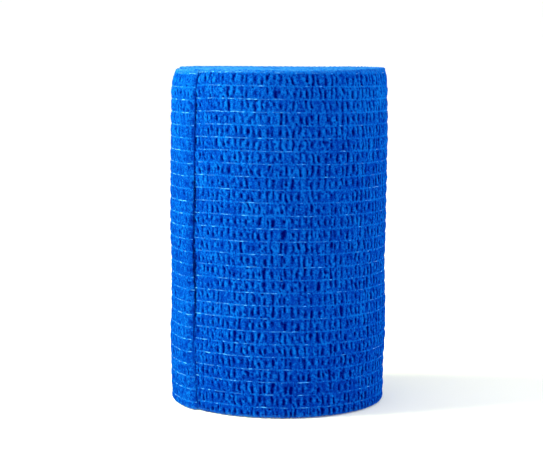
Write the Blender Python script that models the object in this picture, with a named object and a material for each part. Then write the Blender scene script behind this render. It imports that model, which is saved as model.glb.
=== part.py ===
"""Cohesive bandage roll: one strip of blue crinkled bandage, wound tight, standing on one end.

Metres, +Z up, origin on the floor under the middle of the roll. The front is -Y.
Two solids: the wound roll, and the loose end of the strip, a sheet that lies on the roll's left side
and meets the roll's own outer turn at the back.
"""

import math

import bmesh
import bpy
from mathutils import Vector

MM = 0.001

# The strip and its winding, in millimetres
STRIP_WIDTH = 100.0
OUTER_RADIUS = 32.95
TURN_THICKNESS = 1.3
EYE_RADIUS = 4.2
EYE_OVALNESS = 0.08
GAP = 0.3
SAME_ROW = 0.01

# Elastic threads lie in furrows round the strip, and the cloth between two threads stands up as a rib
THREAD_COUNT = 27
FIRST_THREAD_HEIGHT = 3.2
THREAD_PITCH = 3.7
RIB_HEIGHT = 0.42
RIB_FULLNESS = 0.6
RIB_ROWS = (0.0, 0.24, 0.76)
THREADS_PER_PLAIN_ROW = 4

# The rims, where the edge turns in at the two ends
RIM_ROUND = 0.9
RIM_ROUND_LOOSE_END = 2.0
RIM_STEPS = (0.0, 0.3, 1.0)
EDGE_THINNING = 0.55
THINNEST = 0.5

# Angles in degrees, from the front, positive to the right; the strip winds inwards to the left
EDGE_ANGLE = -51.0
EDGE_FLARE_BELOW = 2.6
EDGE_FLARE_ABOVE = 1.0
EDGE_WAVER = 0.5
EDGE_WAVES = 3.5
EDGE_BEVEL_ANGLE = 1.2
LOOSE_END_ANGLE = 110.0
TUCK_ANGLE = 3.0
FADE_ANGLE = 2.5
ROOT_SLANT = 0.5
COLUMN_ANGLE = 6.0

# How far the turns stand out (+) or draw in (-) on each side, by height: the winding is a little uneven
UNEVENNESS = (
    # height, left, right
    (0.0, -0.15, -0.20),
    (12.0, 0.15, 0.00),
    (20.0, 0.38, 0.50),
    (28.0, 0.05, 0.40),
    (42.0, 0.03, 0.02),
    (52.0, 0.36, 0.22),
    (70.0, 0.32, 0.38),
    (84.0, 0.17, 0.42),
    (94.0, 0.05, 0.10),
    (100.0, -1.05, -0.35),
)
OVALNESS = 0.18

CLOTH_BLUE = (0.006, 0.115, 0.624, 1.0)
LOOSE_END_BLUE = (0.008, 0.165, 0.745, 1.0)


def blend(low, high, share):
    """A smooth step from low to high."""
    share = min(max(share, 0.0), 1.0)
    return low + (high - low) * share * share * (3.0 - 2.0 * share)


def side_offset(height, column):
    """One side's offset at a height, read from the table."""
    for below, above in zip(UNEVENNESS, UNEVENNESS[1:]):
        if height <= above[0]:
            share = (height - below[0]) / (above[0] - below[0])
            return blend(below[column], above[column], share)
    return UNEVENNESS[-1][column]


def unevenness(angle, height):
    """Radial offset of the winding at an angle and a height."""
    rightness = 0.5 + 0.5 * math.sin(math.radians(angle))
    left = side_offset(height, 1)
    right = side_offset(height, 2)
    oval = OVALNESS * math.cos(math.radians(2.0 * angle + 40.0))
    return left + (right - left) * rightness + oval


def furrow_radius(wound, height):
    """Radius of the thread furrows at an angle wound inwards from the loose end's edge."""
    spiral = OUTER_RADIUS - RIB_HEIGHT - TURN_THICKNESS * wound / 360.0
    return spiral + unevenness(EDGE_ANGLE - wound, height)


def rib(height):
    """How far the cloth stands above the furrows at a height."""
    phase = (height - FIRST_THREAD_HEIGHT) / THREAD_PITCH
    return RIB_HEIGHT * abs(math.sin(math.pi * phase)) ** RIB_FULLNESS


def rim_turn(height, rounding):
    """How far the outer surface draws in near the two ends of the roll."""
    from_end = min(height, STRIP_WIDTH - height)
    if from_end >= rounding:
        return 0.0
    lean = 1.0 - from_end / rounding
    return rounding * (1.0 - math.sqrt(1.0 - lean * lean))


def rim_heights():
    """Heights of the rows that round the lower and the upper rim."""
    low = [RIM_ROUND * step for step in RIM_STEPS]
    high = [STRIP_WIDTH - RIM_ROUND * step for step in RIM_STEPS]
    return low, high[::-1]


def ribbed_heights():
    """Heights of all rows of a ribbed surface: the rims, the furrows and the ribs."""
    low, high = rim_heights()
    heights = low + [0.5 * (RIM_ROUND + FIRST_THREAD_HEIGHT)]
    for thread in range(THREAD_COUNT - 1):
        furrow = FIRST_THREAD_HEIGHT + THREAD_PITCH * thread
        heights += [furrow + THREAD_PITCH * row for row in RIB_ROWS]
    last_thread = FIRST_THREAD_HEIGHT + THREAD_PITCH * (THREAD_COUNT - 1)
    return heights + [last_thread] + high[1:]


def plain_heights():
    """Heights of the rows of a surface that is covered, which needs no ribs."""
    low, high = rim_heights()
    furrows = range(THREADS_PER_PLAIN_ROW, THREAD_COUNT - 1, THREADS_PER_PLAIN_ROW)
    return low + [FIRST_THREAD_HEIGHT + THREAD_PITCH * thread for thread in furrows] + high


def edge_offset(height):
    """How far, in degrees, the loose end's edge wanders to the right of its mean line."""
    share = height / STRIP_WIDTH
    flare = (EDGE_FLARE_BELOW if share < 0.5 else EDGE_FLARE_ABOVE) * (2.0 * share - 1.0) ** 8
    return flare + EDGE_WAVER * math.sin(2.0 * math.pi * EDGE_WAVES * share)


def point(radius, wound, height):
    """A point in metres at a radius, an angle wound from the loose end's edge, and a height."""
    angle = math.radians(EDGE_ANGLE - wound)
    return Vector((radius * math.sin(angle), -radius * math.cos(angle), height)) * MM


def add_line(bm, places):
    """One upright row of vertices, from (radius, wound angle, height) places."""
    return [bm.verts.new(point(*place)) for place in places]


def add_face(bm, corners):
    """A face on its corners, each of which is taken once."""
    once = list(dict.fromkeys(corners))
    if len(once) > 2:
        bm.faces.new(once)


def skin(bm, near, far):
    """Faces between two upright lines of vertices, whose rows may differ in number."""
    i = 0
    j = 0
    while i < len(near) - 1 or j < len(far) - 1:
        next_near = near[i + 1].co.z if i < len(near) - 1 else math.inf
        next_far = far[j + 1].co.z if j < len(far) - 1 else math.inf
        step_near = next_near <= next_far + SAME_ROW * MM
        step_far = next_far <= next_near + SAME_ROW * MM
        above = [far[j + 1], far[j]] if step_far else [far[j]]
        corners = [near[i], near[i + 1]] if step_near else [near[i]]
        add_face(bm, corners + above)
        i += step_near
        j += step_far


def shown_line(bm, wound):
    """The roll's outer surface at one angle where it shows, with its ribs and rounded rims."""
    rows = []
    for z in ribbed_heights():
        rows.append((furrow_radius(wound, z) + rib(z) - rim_turn(z, RIM_ROUND), wound, z))
    return add_line(bm, rows)


def covered_line(bm, wound, heights):
    """The roll's outer surface at one angle where the loose end presses it flat."""
    return add_line(bm, [(furrow_radius(wound, z), wound, z) for z in heights])


def eye_line(bm, wound):
    """The wall of the eye in the middle of the roll at one angle."""
    angle = math.radians(EDGE_ANGLE - wound)
    radius = EYE_RADIUS * (1.0 + EYE_OVALNESS * math.cos(2.0 * angle))
    return add_line(bm, [(radius, wound, 0.0), (radius, wound, STRIP_WIDTH)])


def even_angles(first, last):
    """Angles from first to last, both taken, about one column apart."""
    steps = max(1, round((last - first) / COLUMN_ANGLE))
    return [first + (last - first) * step / steps for step in range(steps + 1)]


def build_wound_roll():
    """The roll without its loose end: one turn of columns, each an eye line and an outer line."""
    bm = bmesh.new()
    columns = []
    tuck = 360.0 - TUCK_ANGLE
    for wound in even_angles(LOOSE_END_ANGLE + ROOT_SLANT, tuck - FADE_ANGLE):
        columns.append((eye_line(bm, wound), shown_line(bm, wound)))
    columns.append((eye_line(bm, tuck), covered_line(bm, tuck, ribbed_heights())))
    for wound in even_angles(tuck + COLUMN_ANGLE, 360.0 + LOOSE_END_ANGLE):
        columns.append((eye_line(bm, wound), covered_line(bm, wound, plain_heights())))

    # The root of the loose end is a step between two outer lines that share the first column's eye
    first_eye = columns[0][0]
    for vertex in columns[-1][0]:
        bm.verts.remove(vertex)
    columns[-1] = (first_eye, columns[-1][1])

    for (eye, outer), (next_eye, next_outer) in zip(columns, columns[1:] + columns[:1]):
        skin(bm, outer, next_outer)
        if eye is not next_eye:
            add_face(bm, [eye[0], next_eye[0], next_eye[1], eye[1]])
        add_face(bm, [eye[0], outer[0], next_outer[0], next_eye[0]])
        add_face(bm, [eye[1], outer[-1], next_outer[-1], next_eye[1]])
    return finish(bm, "wound_roll", CLOTH_BLUE)


def loose_end_lines(bm, wound):
    """The sheet's outer and inner line at one angle; its free edge wanders, and is thinner."""
    at_edge = wound == 0.0
    outer = []
    inner = []
    for z in ribbed_heights():
        place = wound - edge_offset(z) * (wound < COLUMN_ANGLE)
        inside = furrow_radius(place + 360.0, z) + GAP
        thickness = furrow_radius(place, z) - inside - rim_turn(z, RIM_ROUND_LOOSE_END) + rib(z)
        thickness = max(thickness * (EDGE_THINNING if at_edge else 1.0), THINNEST)
        outer.append((inside + thickness, place, z))
    for z in plain_heights():
        place = wound - edge_offset(z) * (wound < COLUMN_ANGLE)
        inner.append((furrow_radius(place + 360.0, z) + GAP, place, z))
    return add_line(bm, outer), add_line(bm, inner)


def build_loose_end():
    """The last part of the strip, a sheet that lies on the roll beneath it."""
    bm = bmesh.new()
    gap_angle = math.degrees(GAP / OUTER_RADIUS)
    angles = [0.0] + even_angles(EDGE_BEVEL_ANGLE, LOOSE_END_ANGLE - gap_angle)
    columns = [loose_end_lines(bm, wound) for wound in angles]
    for (outer, inner), (next_outer, next_inner) in zip(columns, columns[1:]):
        skin(bm, outer, next_outer)
        skin(bm, next_inner, inner)
        add_face(bm, [inner[0], outer[0], next_outer[0], next_inner[0]])
        add_face(bm, [outer[-1], inner[-1], next_inner[-1], next_outer[-1]])
    skin(bm, columns[0][1], columns[0][0])
    skin(bm, columns[-1][0], columns[-1][1])
    return finish(bm, "loose_end", LOOSE_END_BLUE)


def finish(bm, name, colour):
    """Close the work on a mesh: triangles, normals out, smooth shading, its own cloth material."""
    bmesh.ops.triangulate(bm, faces=bm.faces)
    bmesh.ops.recalc_face_normals(bm, faces=bm.faces)
    mesh = bpy.data.meshes.new(name)
    bm.to_mesh(mesh)
    bm.free()
    mesh.shade_smooth()
    mesh.set_sharp_from_angle(angle=math.radians(50.0))
    mesh.materials.append(cloth(name, colour))
    part = bpy.data.objects.new(name, mesh)
    bpy.context.collection.objects.link(part)
    return part


def cloth(name, colour):
    """Matt nonwoven cloth."""
    material = bpy.data.materials.new(name + "_cloth")
    material.use_nodes = True
    shader = material.node_tree.nodes["Principled BSDF"]
    shader.inputs["Base Color"].default_value = colour
    shader.inputs["Roughness"].default_value = 0.9
    shader.inputs["Metallic"].default_value = 0.0
    return material


def stand_on_origin(parts):
    """Move the meshes so that the middle of their box is over the origin, on the floor."""
    points = [vertex.co for part in parts for vertex in part.data.vertices]
    middle = Vector(
        (
            0.5 * (min(p.x for p in points) + max(p.x for p in points)),
            0.5 * (min(p.y for p in points) + max(p.y for p in points)),
            min(p.z for p in points),
        )
    )
    for part in parts:
        for vertex in part.data.vertices:
            vertex.co -= middle


def main():
    for old in list(bpy.data.objects):
        bpy.data.objects.remove(old, do_unlink=True)
    stand_on_origin([build_wound_roll(), build_loose_end()])


main()
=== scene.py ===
"""Cohesive bandage roll: the crinkled cloth, its elastic threads, the wound ends, and a plain studio."""

import math

import bpy
import numpy as np
from mathutils import Matrix, Vector


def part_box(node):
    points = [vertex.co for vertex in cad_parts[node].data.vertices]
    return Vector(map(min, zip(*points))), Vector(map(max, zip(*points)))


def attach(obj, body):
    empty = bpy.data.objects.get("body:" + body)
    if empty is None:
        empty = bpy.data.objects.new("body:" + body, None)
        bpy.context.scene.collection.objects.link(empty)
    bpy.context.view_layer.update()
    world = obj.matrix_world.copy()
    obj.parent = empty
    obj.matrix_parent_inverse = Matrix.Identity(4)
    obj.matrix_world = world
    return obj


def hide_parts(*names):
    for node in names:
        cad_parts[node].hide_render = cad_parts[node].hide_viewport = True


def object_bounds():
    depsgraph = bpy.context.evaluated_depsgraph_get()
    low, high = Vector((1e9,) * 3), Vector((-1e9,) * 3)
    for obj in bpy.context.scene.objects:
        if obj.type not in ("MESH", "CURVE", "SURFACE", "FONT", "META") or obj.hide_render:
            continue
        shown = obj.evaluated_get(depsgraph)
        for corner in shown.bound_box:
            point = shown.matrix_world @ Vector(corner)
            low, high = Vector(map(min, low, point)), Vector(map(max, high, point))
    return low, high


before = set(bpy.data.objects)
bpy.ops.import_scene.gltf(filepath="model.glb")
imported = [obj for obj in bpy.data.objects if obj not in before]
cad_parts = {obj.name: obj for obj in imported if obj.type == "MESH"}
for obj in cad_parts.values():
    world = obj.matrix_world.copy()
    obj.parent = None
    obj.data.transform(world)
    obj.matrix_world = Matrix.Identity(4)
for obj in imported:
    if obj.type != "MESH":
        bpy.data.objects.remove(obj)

bl_info = {
    "name": "Cohesive Bandage Roll",
    "version": (1, 0, 0),
    "blender": (4, 5, 0),
    "location": "3D View > Sidebar > Bandage",
    "description": "Models a wound roll of crinkled cohesive bandage and a studio to look at it in",
    "category": "Add Mesh",
}

MM = 0.001
FRAME_LOW, FRAME_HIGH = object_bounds()
ROLL_LOW, ROLL_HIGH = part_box("wound_roll")
STRIP_WIDTH = ROLL_HIGH[2] - ROLL_LOW[2]

# How far the turns stand out (+) or draw in (-) on each side, in millimetres by height
UNEVENNESS = (
    # height, left, right
    (0.0, -0.15, -0.20),
    (12.0, 0.15, 0.00),
    (20.0, 0.38, 0.50),
    (28.0, 0.05, 0.40),
    (42.0, 0.03, 0.02),
    (52.0, 0.36, 0.22),
    (70.0, 0.32, 0.38),
    (84.0, 0.17, 0.42),
    (94.0, 0.05, 0.10),
    (100.0, -1.05, -0.35),
)
OVALNESS = 0.18 * MM
OVAL_TURN = math.radians(40.0)

# How far threads and ribs sag along the outer turn, in millimetres by pleats from the loose end's edge
SAG = (
    # pleat, height
    (0.0, -0.85),
    (10.0, -0.85),
    (29.0, -0.30),
    (50.0, -0.20),
    (69.0, -0.32),
    (79.0, -0.22),
    (92.0, 0.03),
    (101.0, 0.09),
    (106.0, -0.15),
)

# Rows of mesh in a band of cloth, as shares of the way from one thread to the next
BAND_ROWS = (0.0, 0.12, 0.26, 0.42, 0.58, 0.74, 0.88)
COLUMNS_PER_PLEAT = 6
LOWEST_ROW = 0.6 * MM

# The back of the outer turn is plain: its rows, from the top down, as shares of the strip's width
BACK_ROWS = (0.992, 0.9, 0.5, 0.1, 0.008)

# Rows of mesh in the cut edges of the outer turn, from the bottom up
LOWER_RIM = (
    # millimetres above the edge, share of the way from the back to the outer face, fraying paleness (partly
    # painted light)
    (0.0, 0.5, 1.0),
    (0.12, 0.95, 0.7),
)
UPPER_RIM = (
    # the same, with its first row below the edge
    (-0.25, 0.78, 0.6),
    (0.0, 0.35, 1.0),
)
# Painted shade levels of the rims and of the hidden back
RIM_SHADE = 0.2
BACK_SHADE = 0.4

# Dots by each slit: three on the ridge beside it, then three in line with it
DOTS = (
    # pleats from the slit, share of the band, how likely
    (0.5, 0.16, 0.5),
    (0.5, 0.5, 0.35),
    (0.5, 0.84, 0.5),
    (0.0, 0.14, 0.6),
    (0.0, 0.5, 0.25),
    (0.0, 0.86, 0.6),
)

# Where the cloth, and the light and shade painted on it, change along the strip, in pleats from the loose
# end's edge
ROUGH_TO_SMOOTH = (20.0, 12.0)
FULL_TO_CALM = (20.0, 10.0)
LONG_TO_SHORT_SLITS = (94.0, 104.0)
FULL_TO_CALM_BESIDE_EDGE = (96.0, 106.0)
# Painted shadow at the upper left, beside the loose end's edge, comes in over these pleats
OPEN_TO_SHADED = (98.0, 103.0)
# Painted shade low down comes in over these pleats
UNSHADED_TO_SHADED_LOW_DOWN = (66.0, 80.0)

# Mesh of the threads and of the inner turns
THREAD_SIDES = 5
THREAD_STEPS_PER_PLEAT = 3
INNER_COLUMNS_PER_PLEAT = 4
MERGE_DISTANCE = 0.002 * MM

# Section of an inner turn at one end of the roll
TURN_SECTION = (
    # millimetres from the end, share through the turn, painted shade level (darker deeper between the
    # turns), fraying paleness (partly painted light)
    (0.0, 0.5, 0.05, 1.0),
    (0.12, 0.86, 0.2, 0.8),
    (0.5, 1.0, 0.6, 0.35),
    (1.8, 1.0, 1.1, 0.0),
)

LAMPS = (
    # name, side in metres, power in watts, place in metres, colour
    ("key_softbox", 0.20, 4.7, (-0.32, -0.05, 0.36), "#F8FFB4"),
    ("side_softbox", 0.6, 9.8, (1.0, 0.38, 0.44), "#F8FFCC"),
    ("front_softbox", 0.4, 0.66, (-0.10, -0.20, 0.50), "#DAD6FF"),
    ("top_softbox", 0.9, 5.0, (0.0, 0.05, 1.2), "#FFFFFF"),
)


def linear(hex_colour):
    """An sRGB hex colour as linear red, green, blue and alpha."""
    channels = [int(hex_colour[i : i + 2], 16) / 255.0 for i in (1, 3, 5)]
    curved = [c / 12.92 if c <= 0.04045 else ((c + 0.055) / 1.055) ** 2.4 for c in channels]
    return (*curved, 1.0)


class BandageStripSizes(bpy.types.PropertyGroup):
    """The strip before it is wound: its threads, ribs and pleats."""

    turn: bpy.props.FloatProperty(
        name="Turn", description="Radius that one turn adds", default=1.3 * MM, unit="LENGTH"
    )
    thread_count: bpy.props.IntProperty(
        name="Threads", description="Elastic threads across the strip", default=27
    )
    first_thread: bpy.props.FloatProperty(
        name="First Thread", description="Height of the lowest thread", default=3.2 * MM, unit="LENGTH"
    )
    thread_pitch: bpy.props.FloatProperty(
        name="Thread Pitch", description="Height from thread to thread", default=3.7 * MM, unit="LENGTH"
    )
    thread_radius: bpy.props.FloatProperty(
        name="Thread Radius", description="Radius of an elastic thread", default=0.13 * MM, unit="LENGTH"
    )
    rib: bpy.props.FloatProperty(
        name="Rib", description="How far cloth stands above the furrows", default=0.42 * MM, unit="LENGTH"
    )
    pleat_pitch: bpy.props.FloatProperty(
        name="Pleat Pitch",
        description="Length of strip from pleat to pleat",
        default=1.89 * MM,
        unit="LENGTH",
    )
    slit_depth: bpy.props.FloatProperty(
        name="Slit Depth", description="Depth of a full slit of cloth", default=0.4 * MM, unit="LENGTH"
    )
    lump: bpy.props.FloatProperty(
        name="Lumps", description="Height of the cloth's fine lumps", default=0.05 * MM, unit="LENGTH"
    )
    seed: bpy.props.IntProperty(name="Seed", description="Start of the random draws", default=7)


class BandageWindingSizes(bpy.types.PropertyGroup):
    """How the strip is wound."""

    outer_radius: bpy.props.FloatProperty(
        name="Outer Radius", description="Rib crests at the loose end", default=32.95 * MM, unit="LENGTH"
    )
    eye_radius: bpy.props.FloatProperty(
        name="Eye Radius", description="Radius of the eye in the middle", default=4.2 * MM, unit="LENGTH"
    )
    gap: bpy.props.FloatProperty(
        name="Gap", description="Clearance between two turns", default=0.3 * MM, unit="LENGTH"
    )
    edge_angle: bpy.props.FloatProperty(
        name="Edge Angle",
        description="Where the loose end stops, from the front",
        default=math.radians(-51.0),
        subtype="ANGLE",
    )
    edge_flare_below: bpy.props.FloatProperty(
        name="Lower Edge Flare",
        description="How far the edge swings right at its lower end",
        default=math.radians(2.6),
        subtype="ANGLE",
    )
    edge_flare_above: bpy.props.FloatProperty(
        name="Upper Edge Flare",
        description="How far the edge swings right at its upper end",
        default=math.radians(1.0),
        subtype="ANGLE",
    )
    loose_pleats: bpy.props.IntProperty(
        name="Loose End Pleats", description="Pleats in the loose end", default=33
    )
    turn_pleats: bpy.props.IntProperty(
        name="Outer Turn Pleats", description="Pleats in the rest of the outer turn", default=77
    )


class BandageColours(bpy.types.PropertyGroup):
    """Colours of the cloth and the threads, linear."""

    # Painted shade: flank and slit are darker copies of the crest colour, drawn in the folds where shade
    # falls
    slit: bpy.props.FloatVectorProperty(
        name="Slit", description="Depth of the slits", size=4, subtype="COLOR", default=linear("#000764")
    )
    flank_shade: bpy.props.FloatVectorProperty(
        name="Flank", description="Sides of the pleats", size=4, subtype="COLOR", default=linear("#0235AB")
    )
    crest: bpy.props.FloatVectorProperty(
        name="Crest", description="Tops of the pleats", size=4, subtype="COLOR", default=linear("#0866D6")
    )
    # Partly painted light: the pale colour of fraying cut edges also stands in for light catching the rims
    frayed_and_sheen: bpy.props.FloatVectorProperty(
        name="Frayed", description="Cut edges", size=4, subtype="COLOR", default=linear("#3076CE")
    )
    thread: bpy.props.FloatVectorProperty(
        name="Thread", description="Elastic threads", size=4, subtype="COLOR", default=linear("#48A6FF")
    )
    thread_dull: bpy.props.FloatVectorProperty(
        name="Dull Thread",
        description="Threads under fluff",
        size=4,
        subtype="COLOR",
        default=linear("#0854BE"),
    )
    stage: bpy.props.FloatVectorProperty(
        name="Stage", description="Floor and backdrop", size=4, subtype="COLOR", default=linear("#F4F5F6")
    )


class BandageStudioSizes(bpy.types.PropertyGroup):
    """Where the camera stands."""

    distance: bpy.props.FloatProperty(
        name="Distance", description="Camera to the roll's axis", default=0.506, unit="LENGTH"
    )
    height: bpy.props.FloatProperty(
        name="Height", description="Camera above the floor", default=0.1095, unit="LENGTH"
    )
    aside: bpy.props.FloatProperty(
        name="Aside", description="Camera to the left of the axis", default=0.0021, unit="LENGTH"
    )
    pitch: bpy.props.FloatProperty(
        name="Pitch", description="Camera looks down by", default=math.radians(6.59), subtype="ANGLE"
    )
    roll: bpy.props.FloatProperty(
        name="Roll", description="Camera leans to its left by", default=math.radians(0.35), subtype="ANGLE"
    )
    lens: bpy.props.FloatProperty(
        name="Lens", description="Focal length in millimetres", default=111.3
    )


def smooth_step(low, high, value):
    """0 below low, 1 above high, and a smooth rise between."""
    share = np.clip((value - low) / (high - low), 0.0, 1.0)
    return share * share * (3.0 - 2.0 * share)


def side_offset(height, column):
    """One side's offset at each height, smoothly read from the table."""
    table = np.array(UNEVENNESS) * MM
    row = np.clip(np.searchsorted(table[:, 0], height, side="right") - 1, 0, len(table) - 2)
    share = smooth_step(table[row, 0], table[row + 1, 0], height)
    return table[row, column] + (table[row + 1, column] - table[row, column]) * share


def unevenness(angle, height):
    """Radial offset of the winding at each angle and height."""
    rightness = 0.5 + 0.5 * np.sin(angle)
    left = side_offset(height, 1)
    right = side_offset(height, 2)
    oval = OVALNESS * np.cos(2.0 * angle + OVAL_TURN)
    return left + (right - left) * rightness + oval


def furrow_radius(wound, height):
    """Radius of the thread furrows at an angle wound inwards from the loose end's edge."""
    strip = bpy.context.scene.bandage_strip
    winding = bpy.context.scene.bandage_winding
    spiral = winding.outer_radius - strip.rib - strip.turn * wound / math.tau
    fade = np.clip(1.0 - wound / (4.0 * math.tau), 0.15, 1.0)
    return spiral + fade * unevenness(winding.edge_angle - wound, height)


def axis_offset():
    """Where the winding's axis lies: the frame is centred on its box, and the spiral is lopsided in it."""
    wound = np.radians(np.arange(0.0, 360.0, 1.0))
    heights = np.linspace(0.0, STRIP_WIDTH, 101)
    grid_wound, grid_height = np.meshgrid(wound, heights)
    radius = furrow_radius(grid_wound, grid_height) + bpy.context.scene.bandage_strip.rib
    angle = bpy.context.scene.bandage_winding.edge_angle - grid_wound
    x = radius * np.sin(angle)
    y = -radius * np.cos(angle)
    middle_x = 0.5 * (FRAME_LOW[0] + FRAME_HIGH[0]) - 0.5 * (x.min() + x.max())
    middle_y = 0.5 * (FRAME_LOW[1] + FRAME_HIGH[1]) - 0.5 * (y.min() + y.max())
    return middle_x, middle_y


def wrap(wound, height, lift):
    """Points round the roll: an angle wound inwards, a height, and a lift above the furrows."""
    radius = furrow_radius(wound, height) + lift
    angle = bpy.context.scene.bandage_winding.edge_angle - wound
    off_x, off_y = axis_offset()
    x = off_x + radius * np.sin(angle)
    y = off_y - radius * np.cos(angle)
    return np.stack([x, y, height + ROLL_LOW[2]], axis=-1)


def edge_offset(height):
    """How far the loose end's edge wanders to the right of its mean line, as an angle."""
    winding = bpy.context.scene.bandage_winding
    share = height / STRIP_WIDTH
    flare = np.where(share < 0.5, winding.edge_flare_below, winding.edge_flare_above)
    ripple = 0.5 * np.sin(math.tau * 3.5 * share)
    ripple = ripple + 0.25 * np.sin(math.tau * 9.3 * share + 1.0)
    ripple = ripple + 0.2 * np.sin(math.tau * 19.0 * share + 2.0)
    return flare * (2.0 * share - 1.0) ** 8 + np.radians(ripple)


def wound_angle(pleat):
    """Angle wound at a pleat number, on the outer turn."""
    strip = bpy.context.scene.bandage_strip
    winding = bpy.context.scene.bandage_winding
    mean_radius = winding.outer_radius - strip.rib - 0.5 * strip.turn
    return pleat * strip.pleat_pitch / mean_radius


def cloth_place(pleat, height):
    """Angle wound at a pleat number and height: near its free end the strip follows the wandering edge."""
    return wound_angle(pleat) - edge_offset(height) * smooth_step(4.0, 0.0, pleat)


def edge_thinning(pleat):
    """How much thinner the cloth is over its last pleat, down to its free edge."""
    return 0.65 * bpy.context.scene.bandage_strip.turn * smooth_step(1.0, 0.0, pleat)


def sagged(pleat, height):
    """A height with the strip's sag, which dies out towards the two rims."""
    table = np.array(SAG)
    sag = np.interp(pleat, table[:, 0], table[:, 1]) * MM
    sag = sag - 0.22 * MM * smooth_step(0.6 * STRIP_WIDTH, 0.9 * STRIP_WIDTH, height)
    above = smooth_step(0.0, 2.5 * MM, height)
    below = smooth_step(STRIP_WIDTH + 0.4 * MM, STRIP_WIDTH - MM, height)
    return height + sag * (above * below)


def soft_noise(draw, rows, columns, passes):
    """Random numbers on a grid, blurred by some passes, with a spread of one."""
    noise = draw.normal(size=(rows, columns))
    for _ in range(passes):
        noise = 0.5 * noise + 0.25 * (np.roll(noise, 1, axis=1) + np.roll(noise, -1, axis=1))
        noise = 0.6 * noise + 0.2 * (np.roll(noise, 1, axis=0) + np.roll(noise, -1, axis=0))
    return noise / noise.std()


def pit_profile(squared_distance):
    """Depth across a pit: 1 in the middle, and a little below 0 on the raised ridge round it."""
    return 1.6 * np.exp(-squared_distance) - 0.7 * np.exp(-squared_distance / 3.3)


class Crinkle:
    """Random draws for the slits and dots of the cloth: a row for each band, a column for each pleat."""

    def __init__(self, draw, bands, pleats):
        cells = (bands, pleats)
        self.pleats = pleats
        # Pleats run on from band to band, so each strays only a little from the one below it
        self.shift = draw.normal(0.0, 0.1, cells)
        for band in range(1, bands):
            self.shift[band] = 0.7 * self.shift[band - 1] + 0.71 * self.shift[band]
        self.shift = np.clip(self.shift, -0.32, 0.32)
        self.lean = draw.normal(0.0, 0.09, cells)
        self.bow = draw.normal(0.0, 0.11, cells)
        self.depth = draw.uniform(0.72, 1.25, cells) * np.where(draw.random(cells) < 0.07, 0.3, 1.0)
        self.half_width = draw.uniform(0.20, 0.31, cells)
        middle = draw.uniform(0.36, 0.66, cells)
        # Slits are short on the loose end and on the turn just before it, and few run from thread to thread
        number = np.arange(pleats)
        short = smooth_step(*ROUGH_TO_SMOOTH, number) + smooth_step(*LONG_TO_SHORT_SLITS, number)
        full = draw.random(cells) < 0.12 * (1.0 - short)
        half_length = np.where(full, 0.5, draw.uniform(0.18, 0.36, cells) * (1.0 - 0.25 * short))
        self.low_end = np.maximum(middle - half_length, draw.uniform(0.0, 0.1, cells))
        self.high_end = np.minimum(middle + half_length, 1.0 - draw.uniform(0.0, 0.1, cells))
        shift, share, likely = np.array(DOTS).T
        dots = (bands, pleats, len(DOTS))
        self.dot_shift = draw.normal(0.0, 0.1, dots) + shift
        self.dot_share = draw.normal(0.0, 0.06, dots) + share
        self.dot_depth = draw.uniform(0.35, 1.0, dots) * (draw.random(dots) < likely)
        self.dot_width = draw.uniform(0.14, 0.24, dots)
        self.dot_height = draw.uniform(0.09, 0.17, dots)

    def hollow_and_shade(self, pleat, band, share):
        """How deep each point lies: about 1 in a slit or dot, about 0 between, below 0 on a ridge."""
        total = np.zeros_like(pleat)
        nearest = np.rint(pleat).astype(int)
        for step in (-1, 0, 1):
            cell = (band, np.clip(nearest + step, 0, self.pleats - 1))
            column = nearest + step + self.shift[cell]
            centre = column + self.lean[cell] * (share - 0.5) + self.bow[cell] * np.sin(math.pi * share)
            low = self.low_end[cell]
            high = self.high_end[cell]
            length = smooth_step(low - 0.1, low + 0.16, share) * smooth_step(high + 0.1, high - 0.16, share)
            width = self.half_width[cell] * (0.7 + 0.3 * length)
            total += self.depth[cell] * length * pit_profile(((pleat - centre) / width) ** 2)
            for dot in range(self.dot_shift.shape[-1]):
                spot = (*cell, dot)
                along = (pleat - column - self.dot_shift[spot]) / self.dot_width[spot]
                up = (share - self.dot_share[spot]) / self.dot_height[spot]
                total += self.dot_depth[spot] * pit_profile(along**2 + up**2)
        return total


def face_rows():
    """Rows of the outer face from the lower rim to the upper: height, band and share of the band."""
    strip = bpy.context.scene.bandage_strip
    rows = []
    for band in range(strip.thread_count):
        for share in BAND_ROWS:
            height = strip.first_thread + strip.thread_pitch * (band - 1 + share)
            if height > LOWEST_ROW:
                rows.append((height, band, share))
    last_thread = strip.first_thread + strip.thread_pitch * (strip.thread_count - 1)
    rows.append((last_thread, strip.thread_count, 0.0))
    return [np.array(part)[:, None] for part in zip(*rows)]


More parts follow.
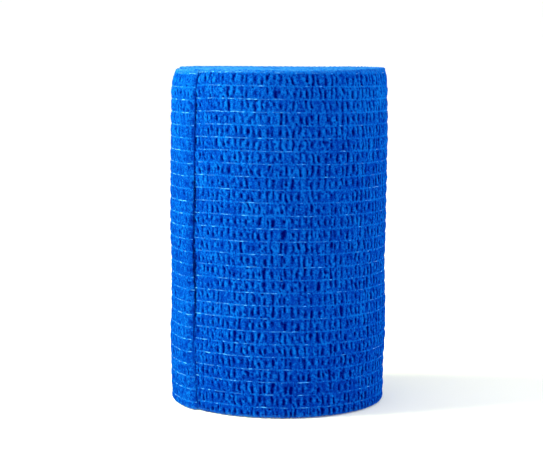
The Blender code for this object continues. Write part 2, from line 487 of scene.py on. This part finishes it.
def crinkled_face():
    """The whole outer turn's outer face: each column's pleat, and height, lift and painted shade level on a
    grid.
    """
    strip = bpy.context.scene.bandage_strip
    winding = bpy.context.scene.bandage_winding
    draw = np.random.default_rng(strip.seed)
    pleats = winding.loose_pleats + winding.turn_pleats
    crinkle = Crinkle(draw, strip.thread_count + 1, pleats + 2)
    row_height, band, share = face_rows()
    line = np.arange(pleats * COLUMNS_PER_PLEAT + 1) / COLUMNS_PER_PLEAT
    shape = (len(row_height), len(line))
    pleat = np.broadcast_to(line, shape)
    band = np.broadcast_to(band, shape)
    share = np.broadcast_to(share, shape)
    smooth = smooth_step(*ROUGH_TO_SMOOTH, pleat)
    waver = (0.055 + 0.145 * smooth) * soft_noise(draw, *shape, 3)
    hollow_and_shade = crinkle.hollow_and_shade(pleat + waver, band, share)
    # The loose end is smoother, and so is the turn just before it
    calm = 0.35 * smooth_step(*FULL_TO_CALM, pleat) + 0.1 * smooth_step(*FULL_TO_CALM_BESIDE_EDGE, pleat)
    hollow_and_shade = hollow_and_shade * (1.0 - calm)
    fullness = np.abs(np.sin(math.pi * share)) ** 0.55
    lumps = soft_noise(draw, *shape, 1)
    depth = strip.slit_depth * np.clip(hollow_and_shade, -0.3, 1.3) * (0.3 + 0.7 * fullness)
    lift = strip.rib * (0.42 + 0.34 * fullness) - depth + strip.lump * lumps
    height = sagged(pleat, row_height + 0.05 * MM * soft_noise(draw, *shape, 1))
    # Painted shade: the cloth is drawn darker in its slits and dots and lighter where it is calmer; cloth
    # drawn flat by a thread is drawn light
    from_thread = np.minimum(share, 1.0 - share)
    shade = 0.45 - 0.15 * calm + 0.82 * hollow_and_shade - 0.2 * np.exp(-((from_thread / 0.08) ** 2))
    # Painted light and shade: the cloth is drawn a little lighter at the top and darker low down beside the
    # loose end, where the light falls off; it is also drawn a little darker on the loose end
    low_painted_shade = smooth_step(0.4 * STRIP_WIDTH, 0.0, height) * smooth_step(*UNSHADED_TO_SHADED_LOW_DOWN, pleat)
    top_painted_light = smooth_step(0.6 * STRIP_WIDTH, STRIP_WIDTH, height)
    shade = shade + 0.08 * low_painted_shade - 0.07 * top_painted_light + 0.02 * smooth
    # Painted shadow of the free edge, drawn on the cloth under and beside it, and a little further at the
    # upper left
    edge_pleat = math.tau / wound_angle(1.0)
    painted_edge_shadow = smooth_step(edge_pleat - 1.0, edge_pleat - 0.1, pleat) + 0.8 * smooth_step(0.55, 0.0, pleat)
    shade = shade + painted_edge_shadow * (0.15 + 0.1 * soft_noise(draw, *shape, 2))
    upper = smooth_step(0.65 * STRIP_WIDTH, 0.9 * STRIP_WIDTH, height)
    shade = shade + 0.1 * smooth_step(*OPEN_TO_SHADED, pleat) * upper
    return line, height, lift, shade


def deselect():
    """Deselect every object."""
    for other in bpy.context.selected_objects:
        other.select_set(False)


def select_only(piece):
    """Select and activate one object alone."""
    deselect()
    piece.select_set(True)
    bpy.context.view_layer.objects.active = piece


def add_strip_grid(name, columns, rows):
    """A flat grid of columns by rows of faces, and each vertex's column and row."""
    deselect()
    bpy.ops.mesh.primitive_grid_add(x_subdivisions=columns, y_subdivisions=rows, size=2.0)
    piece = bpy.context.active_object
    piece.name = name
    piece.data.name = name
    flat = np.empty(len(piece.data.vertices) * 3)
    piece.data.vertices.foreach_get("co", flat)
    flat = flat.reshape(-1, 3)
    column = np.rint((flat[:, 0] + 1.0) * 0.5 * columns).astype(int)
    row = np.rint((flat[:, 1] + 1.0) * 0.5 * rows).astype(int)
    return piece, column, row


def set_points(piece, points):
    """Move all vertices of a mesh."""
    piece.data.vertices.foreach_set("co", points.astype(np.float32).ravel())
    piece.data.update()


def set_attribute(piece, name, values):
    """Store one number for each vertex."""
    attribute = piece.data.attributes.new(name, "FLOAT", "POINT")
    attribute.data.foreach_set("value", values.astype(np.float32))


def close_tubes(piece):
    """Join the first and last rows of rolled-up grids, fill their ends and turn their faces outwards."""
    select_only(piece)
    bpy.ops.object.mode_set(mode="EDIT")
    bpy.ops.mesh.select_all(action="SELECT")
    bpy.ops.mesh.remove_doubles(threshold=MERGE_DISTANCE)
    bpy.ops.mesh.select_all(action="DESELECT")
    bpy.ops.mesh.select_non_manifold(
        extend=False, use_wire=False, use_multi_face=False, use_non_contiguous=False
    )
    bpy.ops.mesh.fill(use_beauty=True)
    bpy.ops.mesh.select_all(action="SELECT")
    bpy.ops.mesh.normals_make_consistent(inside=False)
    bpy.ops.object.mode_set(mode="OBJECT")
    piece.data.shade_smooth()


def cloth_sheet(name, first_pleat, last_pleat):
    """A closed crinkled sheet between two pleats of the outer turn: outer face, fraying rims drawn paler
    (partly painted light), plain back.
    """
    strip = bpy.context.scene.bandage_strip
    winding = bpy.context.scene.bandage_winding
    face_line, face_height, face_lift, face_painted_shade = crinkled_face()
    shown = slice(first_pleat * COLUMNS_PER_PLEAT, last_pleat * COLUMNS_PER_PLEAT + 1)
    line = face_line[shown]
    draw = np.random.default_rng(strip.seed + 1)
    ruffle = np.cos(math.tau * face_line + draw.normal(0.0, 0.7, len(face_line)))[shown]
    fray = np.abs(draw.normal(0.0, 0.09 * MM, len(face_line)))[shown]
    thinning = edge_thinning(line)
    # The upper rim stands higher on the roll's right side, and the rims' pale fraying colour is weaker
    # there: painted light, paler on the roll's left
    rightness = np.sin(winding.edge_angle - wound_angle(line))
    risen = smooth_step(0.3, 0.9, rightness) - 0.8 * smooth_step(-0.85, -1.0, rightness)
    worn = 0.8 - 0.3 * rightness + 0.15 * ruffle
    rows = []

    def add_row(height, lift, hollow_and_shade, frayed_and_sheen):
        rows.append([np.broadcast_to(part, line.shape) for part in (height, lift, hollow_and_shade, frayed_and_sheen)])

    def back_lift(height):
        """Lift of the sheet's back, which clears the turn beneath it by the gap."""
        wound = cloth_place(line, height)
        return furrow_radius(wound + math.tau, height) + winding.gap - furrow_radius(wound, height)

    def add_rim(edge, rim):
        front = 0.4 * strip.rib - thinning + 0.08 * MM * ruffle
        for above, through, frayed_and_sheen in rim:
            height = edge + above * MM
            back = back_lift(height)
            add_row(height, back + through * (front - back), RIM_SHADE, frayed_and_sheen * worn)

    add_rim(0.03 * MM + fray + 0.1 * MM * (0.5 + 0.5 * ruffle), LOWER_RIM)
    for index in range(len(face_height)):
        height = face_height[index, shown]
        # The face is drawn paler just below its upper rim and just above its lower rim: fraying cut edges,
        # partly painted light
        frayed_and_sheen = 0.3 * smooth_step(STRIP_WIDTH - 1.0 * MM, STRIP_WIDTH, height)
        frayed_and_sheen = frayed_and_sheen + 0.3 * smooth_step(1.2 * MM, 0.2 * MM, height)
        add_row(height, face_lift[index, shown] - thinning, face_painted_shade[index, shown], frayed_and_sheen)
    upper_edge = STRIP_WIDTH + (0.1 + 0.35 * risen) * MM
    add_rim(upper_edge - fray - 0.1 * MM * (0.5 - 0.5 * ruffle), UPPER_RIM)
    for share in BACK_ROWS:
        height = np.full(line.shape, share * STRIP_WIDTH)
        add_row(height, back_lift(height), BACK_SHADE, 0.0)
    rows.append(rows[0])

    return wound_sheet(name, rows, lambda column, height: cloth_place(line[column], height))


def wound_sheet(name, rows, place):
    """A closed sheet from its rows of height, lift, painted shade level and fraying paleness (partly
    painted light), wound to the angles of place.
    """
    piece, column, row = add_strip_grid(name, len(rows[0][0]) - 1, len(rows) - 1)
    height, lift, hollow_and_shade, frayed_and_sheen = np.array(rows).transpose(1, 0, 2)[:, row, column]
    set_points(piece, wrap(place(column, height), height, lift))
    # The material reads its painted shade and its pale fraying colour, partly painted light, from these
    set_attribute(piece, "hollow_and_shade", hollow_and_shade)
    set_attribute(piece, "frayed_and_sheen", frayed_and_sheen)
    close_tubes(piece)
    return piece


def add_node(tree, kind, settings=(), links=()):
    """A node with its settings, by attribute or input name, and its links, as (input, source socket)."""
    node = tree.nodes.new(kind)
    for name, value in dict(settings).items():
        if isinstance(name, str) and hasattr(node, name):
            setattr(node, name, value)
        else:
            node.inputs[name].default_value = value
    for name, source in dict(links).items():
        tree.links.new(source, node.inputs[name])
    return node


def weigh(tree, value, weight, rest):
    """A socket times a weight, plus a number or another socket."""
    node = add_node(tree, "ShaderNodeMath", {"operation": "MULTIPLY_ADD", 1: weight}, {0: value})
    if isinstance(rest, float):
        node.inputs[2].default_value = rest
    else:
        tree.links.new(rest, node.inputs[2])
    return node.outputs[0]


def add_noise(tree, size, detail, roughness=0.5, distortion=0.0):
    """Noise on the object's own coordinates, with lumps of a real size in millimetres."""
    place = add_node(tree, "ShaderNodeTexCoord").outputs["Object"]
    settings = {
        "Scale": 1.0 / (size * MM),
        "Detail": detail,
        "Roughness": roughness,
        "Distortion": distortion,
    }
    return add_node(tree, "ShaderNodeTexNoise", settings, {"Vector": place}).outputs["Fac"]


def add_attribute(tree, name):
    """A number stored with each vertex."""
    return add_node(tree, "ShaderNodeAttribute", {"attribute_name": name}).outputs["Fac"]


def add_ramp(tree, value, first, last, middle=()):
    """A colour ramp, with its stops as (position, colour)."""
    ramp = add_node(tree, "ShaderNodeValToRGB", (), {"Fac": value})
    stops = ramp.color_ramp.elements
    for stop, (position, colour) in zip(stops, (first, last)):
        stop.position = position
        stop.color = colour
    for position, colour in middle:
        stops.new(position).color = colour
    return ramp.outputs["Color"]


def new_material(name):
    """A material, its node tree and its shader."""
    material = bpy.data.materials.new(name)
    material.use_nodes = True
    tree = material.node_tree
    return material, tree, tree.nodes["Principled BSDF"]


def cloth_material():
    """Polyester nonwoven, creped by its elastic threads: matt and fibrous, with painted shade darkening it
    where it folds in.
    """
    name = "Creped_nonwoven"
    if name in bpy.data.materials:
        return bpy.data.materials[name]
    colours = bpy.context.scene.bandage_colours
    material, tree, shader = new_material(name)
    # Fibre tufts, and a faint cloudiness over a few pleats
    tufts = add_noise(tree, 0.45, 3.0, roughness=0.6, distortion=0.4)
    clouds = add_noise(tree, 8.0, 2.0)
    texture = weigh(tree, clouds, 0.3, weigh(tree, tufts, 1.5, -0.9))
    depth = weigh(tree, add_attribute(tree, "hollow_and_shade"), 1.0, texture)
    # Painted shade: the colour darkens from the crest through the flank to the slit as the painted shade
    # level rises
    pleats = add_ramp(tree, depth, (0.0, colours.crest), (1.0, colours.slit), [(0.42, colours.flank_shade)])
    # Cut edges fray unevenly, in places about a pleat wide; their paler colour is partly painted light
    worn = weigh(tree, add_noise(tree, 1.2, 2.0, roughness=0.6), -5.0, 3.2)
    fray = add_node(
        tree,
        "ShaderNodeMath",
        {"operation": "MULTIPLY", "use_clamp": True},
        {0: add_attribute(tree, "frayed_and_sheen"), 1: worn},
    )
    edge = add_node(
        tree,
        "ShaderNodeMix",
        {"data_type": "RGBA", 7: colours.frayed_and_sheen},
        {0: fray.outputs[0], 6: pleats},
    )
    bump = add_node(tree, "ShaderNodeBump", {"Strength": 0.8, "Distance": 0.14 * MM}, {"Height": tufts})
    tree.links.new(edge.outputs[2], shader.inputs["Base Color"])
    tree.links.new(bump.outputs["Normal"], shader.inputs["Normal"])
    shader.inputs["Roughness"].default_value = 0.95
    shader.inputs["Specular IOR Level"].default_value = 0.0
    return material


def thread_material():
    """Wrapped elastane thread: pale, a little glossy, dulled here and there by fluff."""
    name = "Elastane_thread"
    if name in bpy.data.materials:
        return bpy.data.materials[name]
    colours = bpy.context.scene.bandage_colours
    material, tree, shader = new_material(name)
    fluff = add_noise(tree, 1.6, 2.0)
    colour = add_ramp(tree, fluff, (0.48, colours.thread_dull), (0.66, colours.thread))
    tree.links.new(colour, shader.inputs["Base Color"])
    shader.inputs["Roughness"].default_value = 0.5
    shader.inputs["Specular IOR Level"].default_value = 0.1
    return material


def dress(piece, material):
    """Give a finished piece its material and put it on the roll's body."""
    piece.data.materials.clear()
    piece.data.materials.append(material)
    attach(piece, "root")


class BANDAGE_OT_outer_turn(bpy.types.Operator):
    """Model the outer turn of crinkled cloth, from the loose end round to where it tucks under"""

    bl_idname = "bandage.outer_turn"
    bl_label = "Outer Turn"

    def execute(self, context):
        winding = context.scene.bandage_winding
        first = winding.loose_pleats
        piece = cloth_sheet("outer_turn", first, first + winding.turn_pleats)
        dress(piece, cloth_material())
        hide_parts("wound_roll")
        return {"FINISHED"}


class BANDAGE_OT_loose_end(bpy.types.Operator):
    """Model the loose end, the part of the strip that laps over the roll's left side"""

    bl_idname = "bandage.loose_end"
    bl_label = "Loose End"

    def execute(self, context):
        winding = context.scene.bandage_winding
        piece = cloth_sheet("loose_end_cloth", 0, winding.loose_pleats)
        dress(piece, cloth_material())
        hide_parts("loose_end")
        return {"FINISHED"}


class BANDAGE_OT_inner_turns(bpy.types.Operator):
    """Model the inner turns, whose ruffled, fraying edges make the two ends of the roll; their pale edge
    colour is partly painted light
    """

    bl_idname = "bandage.inner_turns"
    bl_label = "Inner Turns"

    def execute(self, context):
        strip = context.scene.bandage_strip
        winding = context.scene.bandage_winding
        start = wound_angle(float(winding.loose_pleats + winding.turn_pleats))
        furrow = winding.outer_radius - strip.rib
        radius_start = furrow - strip.turn * start / math.tau
        radius_end = winding.eye_radius + strip.turn
        length = math.pi * (radius_start**2 - radius_end**2) / strip.turn
        pleats = round(length / strip.pleat_pitch)
        # Pleats are evenly long, so the wound angle grows faster as the radius falls
        share = np.linspace(0.0, 1.0, pleats * INNER_COLUMNS_PER_PLEAT + 1)
        radius = np.sqrt(radius_start**2 + (radius_end**2 - radius_start**2) * share)
        wound = math.tau * (furrow - radius) / strip.turn
        pleat = share * pleats
        draw = np.random.default_rng(strip.seed + 2)

        def waver(spacing, spread):
            """Random numbers every few pleats with smooth runs between."""
            count = int(pleats / spacing) + 2
            return np.interp(pleat / spacing, np.arange(count), draw.normal(0.0, spread, count))

        wave = np.cos(math.tau * pleat + waver(1.0, 1.1))
        proud = 0.35 * MM * np.abs(np.sin(winding.edge_angle - wound))
        thick = strip.turn - winding.gap
        rows = []
        for end, sides in (("lower", (1,)), ("upper", (1, -1)), ("lower", (-1,))):
            for side in sides:
                section = TURN_SECTION if (end == "lower") == (side == 1) else TURN_SECTION[::-1]
                for from_end, through, hollow_and_shade, frayed_and_sheen in section:
                    tip = from_end == 0.0
                    if tip and side == -1 and end == "upper":
                        continue
                    near = smooth_step(1.2, 0.1, from_end)
                    dip = waver(0.5, 0.12 * MM) + waver(6.0, 0.12 * MM) + 0.1 * MM * wave
                    inset = from_end * MM + near * (np.abs(dip) + 0.02 * MM)
                    lean = 0.5 + side * (through - 0.5) + (0.3 * wave if tip else 0.0)
                    lift = winding.gap - strip.turn + thick * lean + 0.13 * MM * wave * near
                    lift = lift + waver(0.5, 0.03 * MM) * near
                    height = inset if end == "lower" else STRIP_WIDTH + proud * near - inset
                    rows.append([np.broadcast_to(p, wave.shape) for p in (height, lift, hollow_and_shade, frayed_and_sheen)])
        rows[-1] = rows[0]
        piece = wound_sheet("inner_turns", rows, lambda column, height: wound[column])
        dress(piece, cloth_material())
        return {"FINISHED"}


class BANDAGE_OT_threads(bpy.types.Operator):
    """Lay the elastic threads in their furrows, dipping under the cloth here and there"""

    bl_idname = "bandage.threads"
    bl_label = "Elastic Threads"

    def execute(self, context):
        winding = context.scene.bandage_winding
        turn_end = winding.loose_pleats + winding.turn_pleats
        add_threads("outer_turn_threads", winding.loose_pleats, turn_end)
        add_threads("loose_end_threads", 0, winding.loose_pleats)
        return {"FINISHED"}


def add_threads(name, first_pleat, last_pleat):
    """One thread in each furrow between two pleats of the outer turn: a grid rolled into thin tubes."""
    strip = bpy.context.scene.bandage_strip
    winding = bpy.context.scene.bandage_winding
    rows_per_thread = THREAD_SIDES + 1
    steps = (last_pleat - first_pleat) * THREAD_STEPS_PER_PLEAT
    piece, column, row = add_strip_grid(name, steps, strip.thread_count * rows_per_thread - 1)
    turn_end = winding.loose_pleats + winding.turn_pleats
    line = np.arange(turn_end * THREAD_STEPS_PER_PLEAT + 1) / THREAD_STEPS_PER_PLEAT
    draw = np.random.default_rng(strip.seed + 3)
    shape = (strip.thread_count, len(line))
    spots = np.arange(0.0, turn_end + 1.0, 0.65)
    dips = np.array([np.interp(line, spots, draw.uniform(-1.0, 1.0, len(spots))) for _ in range(shape[0])])
    kinks = 0.05 * MM * soft_noise(draw, *shape, 1)
    shown = slice(first_pleat * THREAD_STEPS_PER_PLEAT, last_pleat * THREAD_STEPS_PER_PLEAT + 1)
    # Threads show more on the loose end and on the turn just before it
    bared = smooth_step(42.0, 14.0, line)
    lit = smooth_step(78.0, 100.0, line)
    rise = (0.14 * bared + 0.17 * lit - 0.16) * MM + (0.24 - 0.1 * bared) * MM * dips
    rise = rise + 0.26 * strip.rib - edge_thinning(line)

    thread = row // rows_per_thread
    around = math.tau * (row % rows_per_thread) / THREAD_SIDES
    pleat = line[shown][column]
    height = strip.first_thread + strip.thread_pitch * thread
    height = sagged(pleat, height + kinks[:, shown][thread, column])
    wound = cloth_place(pleat, height)
    lift = rise[:, shown][thread, column] + strip.thread_radius * np.cos(around)
    set_points(piece, wrap(wound, height + strip.thread_radius * np.sin(around), lift))
    # The faces between two threads have all their corners in the first and last rows of a tube
    select_only(piece)
    bpy.ops.object.mode_set(mode="EDIT")
    bpy.ops.mesh.select_all(action="DESELECT")
    bpy.ops.object.mode_set(mode="OBJECT")
    piece.data.vertices.foreach_set("select", np.isin(row % rows_per_thread, (0, THREAD_SIDES)))
    bpy.ops.object.mode_set(mode="EDIT")
    bpy.ops.mesh.select_mode(type="VERT")
    bpy.ops.mesh.delete(type="FACE")
    bpy.ops.object.mode_set(mode="OBJECT")
    close_tubes(piece)
    dress(piece, thread_material())


def add_light(name, size, power, place, colour):
    """A square softbox aimed at the middle of the roll."""
    bpy.ops.object.light_add(type="AREA", location=place)
    lamp = bpy.context.active_object
    lamp.name = name
    lamp.data.shape = "SQUARE"
    lamp.data.size = size
    lamp.data.energy = power
    lamp.data.color = linear(colour)[:3]
    lamp.visible_camera = False
    aim = Vector((0.0, 0.0, 0.5 * STRIP_WIDTH)) - Vector(place)
    lamp.rotation_euler = aim.to_track_quat("-Z", "Y").to_euler()


def stage_material():
    """Matt white paper sweep, evened out away from the roll by a faint glow."""
    material, tree, shader = new_material("White_paper_sweep")
    shader.inputs["Base Color"].default_value = bpy.context.scene.bandage_colours.stage
    shader.inputs["Roughness"].default_value = 0.9
    shader.inputs["Specular IOR Level"].default_value = 0.1
    shader.inputs["Emission Color"].default_value = (1.0, 1.0, 1.0, 1.0)
    tree.links.new(add_attribute(tree, "glow"), shader.inputs["Emission Strength"])
    return material


class BANDAGE_OT_stage(bpy.types.Operator):
    """Set up a pale floor that rises into a backdrop, soft lights and the camera"""

    bl_idname = "bandage.stage"
    bl_label = "Stage"

    def execute(self, context):
        studio = context.scene.bandage_studio
        cells = 120
        span = 6.0
        floor, column, row = add_strip_grid("stage_floor", cells, cells)
        x = (column / cells - 0.5) * span
        y = (row / cells - 0.5) * span
        rise = 1.4 * smooth_step(1.2, 3.4, np.hypot(x, y))
        set_points(floor, np.stack([x, y, rise - 0.05 * MM], axis=-1))
        set_attribute(floor, "glow", 0.12 + 0.43 * smooth_step(0.1, 0.9, np.hypot(x, y)))
        floor.data.shade_smooth()
        floor.data.materials.append(stage_material())
        for lamp in LAMPS:
            add_light(*lamp)
        world = context.scene.world or bpy.data.worlds.new("Studio")
        context.scene.world = world
        world.use_nodes = True
        backing = world.node_tree.nodes["Background"]
        backing.inputs["Color"].default_value = linear("#F6F8FF")
        backing.inputs["Strength"].default_value = 0.2
        context.scene.view_settings.view_transform = "Standard"
        bpy.ops.object.camera_add(location=(-studio.aside, -studio.distance, studio.height))
        camera = context.active_object
        level = Matrix.Rotation(math.radians(90.0) - studio.pitch, 3, "X")
        camera.rotation_euler = (level @ Matrix.Rotation(studio.roll, 3, "Z")).to_euler()
        camera.data.lens = studio.lens
        camera.data.sensor_width = 36.0
        context.scene.camera = camera
        return {"FINISHED"}


class BANDAGE_PT_panel(bpy.types.Panel):
    """Sizes, colours and steps of the bandage roll"""

    bl_idname = "BANDAGE_PT_panel"
    bl_label = "Cohesive Bandage Roll"
    bl_space_type = "VIEW_3D"
    bl_region_type = "UI"
    bl_category = "Bandage"

    def draw(self, context):
        for group in GROUPS:
            settings = getattr(context.scene, group)
            box = self.layout.box()
            for name in settings.bl_rna.properties.keys():
                if name not in ("rna_type", "name"):
                    box.prop(settings, name)
        for operator in OPERATORS:
            self.layout.operator(operator.bl_idname)


GROUPS = {
    "bandage_strip": BandageStripSizes,
    "bandage_winding": BandageWindingSizes,
    "bandage_colours": BandageColours,
    "bandage_studio": BandageStudioSizes,
}
OPERATORS = (
    BANDAGE_OT_inner_turns,
    BANDAGE_OT_outer_turn,
    BANDAGE_OT_loose_end,
    BANDAGE_OT_threads,
    BANDAGE_OT_stage,
)


def register():
    for name, group in GROUPS.items():
        bpy.utils.register_class(group)
        setattr(bpy.types.Scene, name, bpy.props.PointerProperty(type=group))
    for operator in OPERATORS:
        bpy.utils.register_class(operator)
    bpy.utils.register_class(BANDAGE_PT_panel)


def unregister():
    bpy.utils.unregister_class(BANDAGE_PT_panel)
    for operator in reversed(OPERATORS):
        bpy.utils.unregister_class(operator)
    for name, group in reversed(GROUPS.items()):
        delattr(bpy.types.Scene, name)
        bpy.utils.unregister_class(group)


def main():
    register()
    bpy.ops.bandage.inner_turns()
    bpy.ops.bandage.outer_turn()
    bpy.ops.bandage.loose_end()
    bpy.ops.bandage.threads()
    bpy.ops.bandage.stage()


if __name__ == "__main__":
    main()
